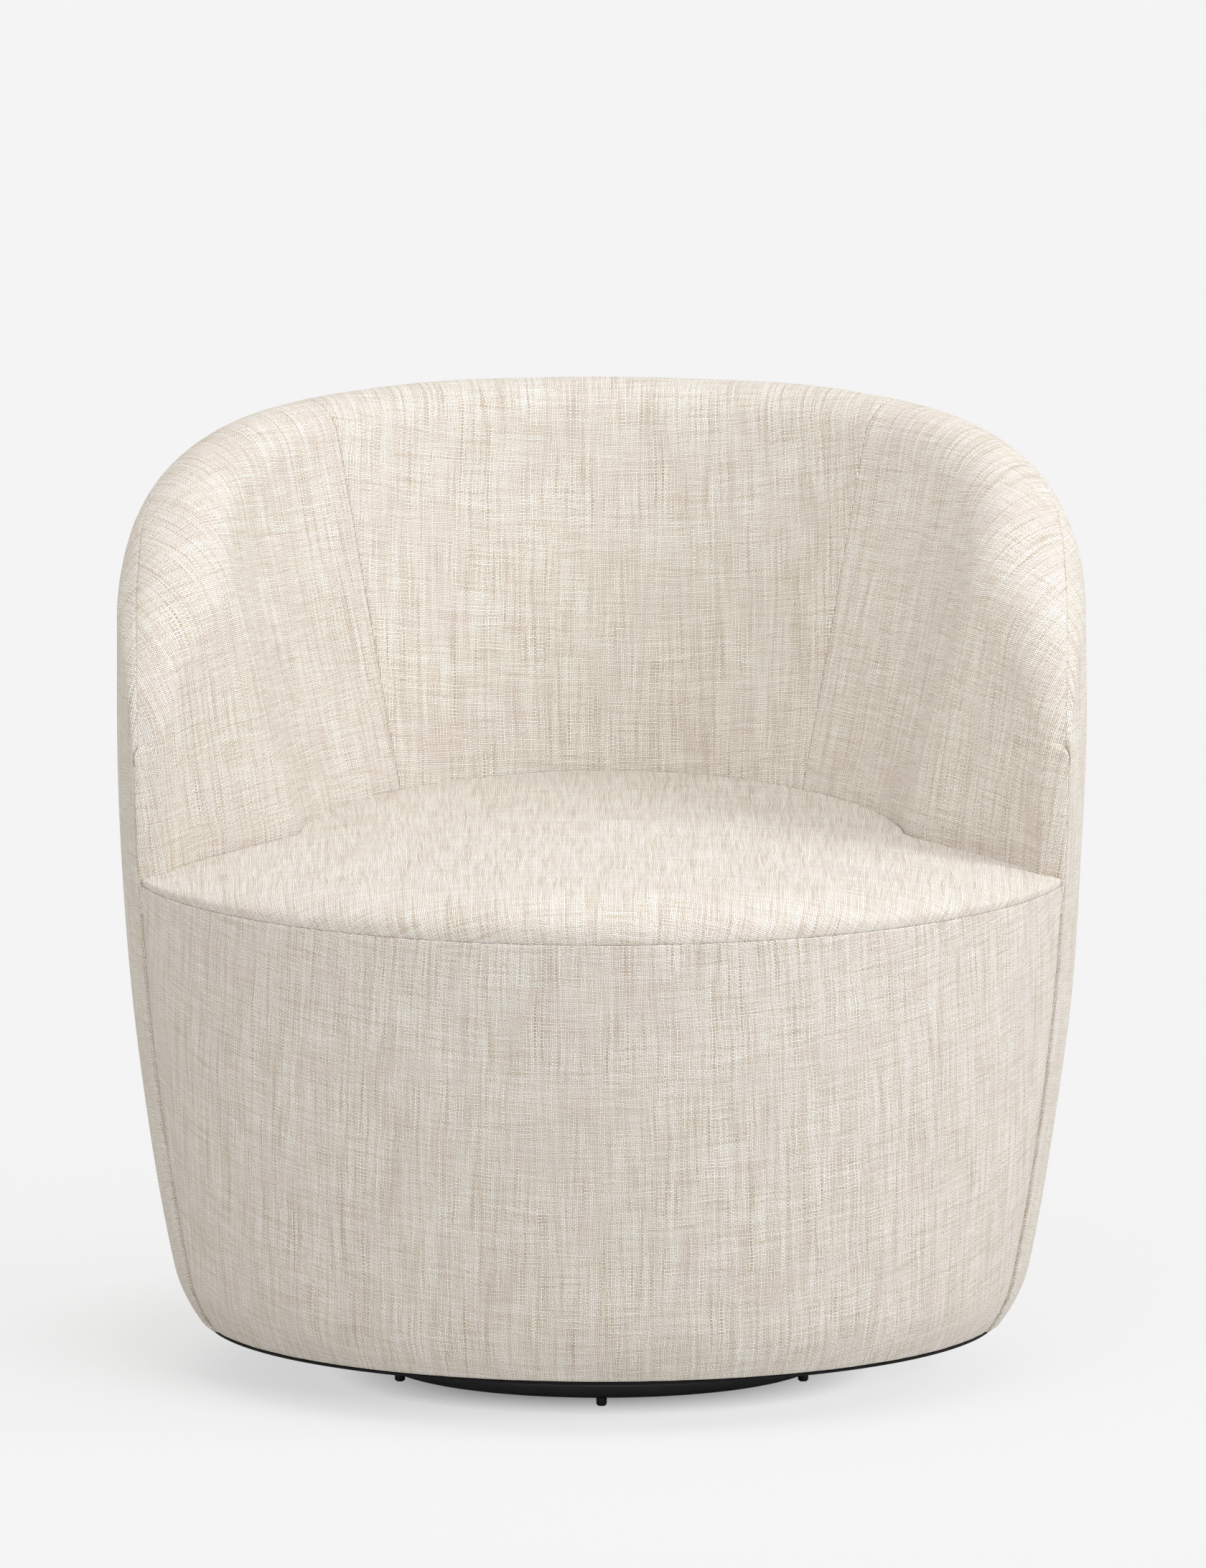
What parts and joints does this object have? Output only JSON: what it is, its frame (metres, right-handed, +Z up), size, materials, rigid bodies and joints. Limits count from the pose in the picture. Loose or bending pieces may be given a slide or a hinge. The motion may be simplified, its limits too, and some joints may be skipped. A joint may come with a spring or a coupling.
{
  "type": "swivel barrel chair",
  "caption": "Upholstered swivel barrel chair with a rounded wrap-around back, sloping arms, a crowned tight seat and a low round tube base.",
  "frame": {"origin": "on the floor under the swivel axis, at the middle of the chair", "axes": "+Z up along the swivel axis, -Y towards the front of the seat, +X towards the right arm as seen from the front"},
  "size_m": [0.8096, 0.8025, 0.7787],
  "materials": {
    "linen": "slubbed plain linen weave, matt",
    "black_paint": "satin black powder coat",
    "dark_nylon": "moulded nylon",
    "black_cloth": "non-woven",
    "zinc": "zinc plated",
    "steel": "turned",
    "spring_steel": "drawn wire",
    "ball_steel": "polished",
    "plywood": "raw birch plywood",
    "fibreboard": "raw fibreboard",
    "foam": "open-cell foam"
  },
  "bodies": {
    "base": {"base_ring": "black_paint", "base_plate": "black_paint", "base_arms": "black_paint", "glides": "dark_nylon", "lower_race": "zinc", "king_pin": "steel", "king_washer": "zinc", "king_nut": "zinc", "base_bolts": "zinc", "base_nuts": "zinc"},
    "cage": {"ball_cage": "dark_nylon", "bearing_balls": "ball_steel"},
    "seat": {"upper_race": "zinc", "bearing_bolts": "zinc", "t_nuts": "zinc", "dust_cover": "black_cloth", "bottom_board": "plywood", "front_ribs": "plywood", "arm_front_ribs": "plywood", "arm_ribs": "plywood", "corner_ribs": "plywood", "back_ribs": "plywood", "frame_screws": "zinc", "deck_ring": "plywood", "front_rail": "plywood", "top_rail": "plywood", "outer_skin": "fibreboard", "front_skin": "fibreboard", "inner_skin": "fibreboard", "spring_rails": "plywood", "seat_springs": "spring_steel", "spring_clips": "zinc", "deck_cloth": "black_cloth", "seat_foam": "foam", "back_foam": "foam", "left_arm_foam": "foam", "right_arm_foam": "foam", "outer_cover": "linen", "front_band": "linen", "back_cover": "linen", "left_arm_cover": "linen", "right_arm_cover": "linen", "seat_cover": "linen"}
  },
  "joints": [
    {"name": "swivel", "type": "hinge", "parent": "base", "child": "seat", "pos_m": [0, 0, 0], "axis": [0, 0, 1], "continuous": true},
    {"name": "cage_turn", "type": "hinge", "parent": "base", "child": "cage", "pos_m": [0, 0, 0], "axis": [0, 0, 1], "continuous": true}
  ],
  "couplings": [
    {"joint": "cage_turn", "follows": "swivel", "ratio": 0.5}
  ]
}
